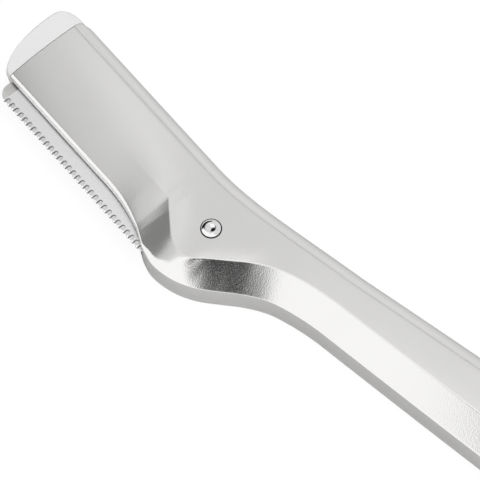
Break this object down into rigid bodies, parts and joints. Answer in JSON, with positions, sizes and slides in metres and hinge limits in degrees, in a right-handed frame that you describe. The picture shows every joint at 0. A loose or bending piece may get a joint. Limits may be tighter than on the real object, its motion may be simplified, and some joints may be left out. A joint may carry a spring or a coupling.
{
  "type": "eyebrow razor",
  "caption": "Eyebrow razor with a cranked satin metal handle and a slide-in cartridge that holds a steel blade behind a comb guard.",
  "frame": {"origin": "the axis of the neck rivet at the flat back", "axes": "+X along the handle from the rivet to the butt, the blade is on the -Y side, +Z out of the front face; the razor lies on its back"},
  "size_m": [0.1456, 0.0238, 0.0063],
  "materials": {
    "satin_metal": "satin, bead-blasted nickel finish",
    "polished_steel": "polished",
    "spring_steel": "bright rolled",
    "white_plastic": "semi-gloss moulded",
    "blade_steel": "ground and fine brushed",
    "guard_foil": "matt rolled foil"
  },
  "bodies": {
    "handle": {"front_shell": "satin_metal", "back_cover": "satin_metal", "rivet_post": "polished_steel", "rivet_cap": "polished_steel", "detent_spring": "spring_steel", "locating_pins": "spring_steel"},
    "cartridge": {"blade_carrier": "white_plastic", "blade": "blade_steel", "blade_guard": "guard_foil"}
  },
  "joints": [
    {"name": "cartridge_slide", "type": "slide", "parent": "handle", "child": "cartridge", "axis": [-0.981, 0.1942, 0], "range_m": [0, 0.034], "deforming": ["detent_spring"]}
  ]
}
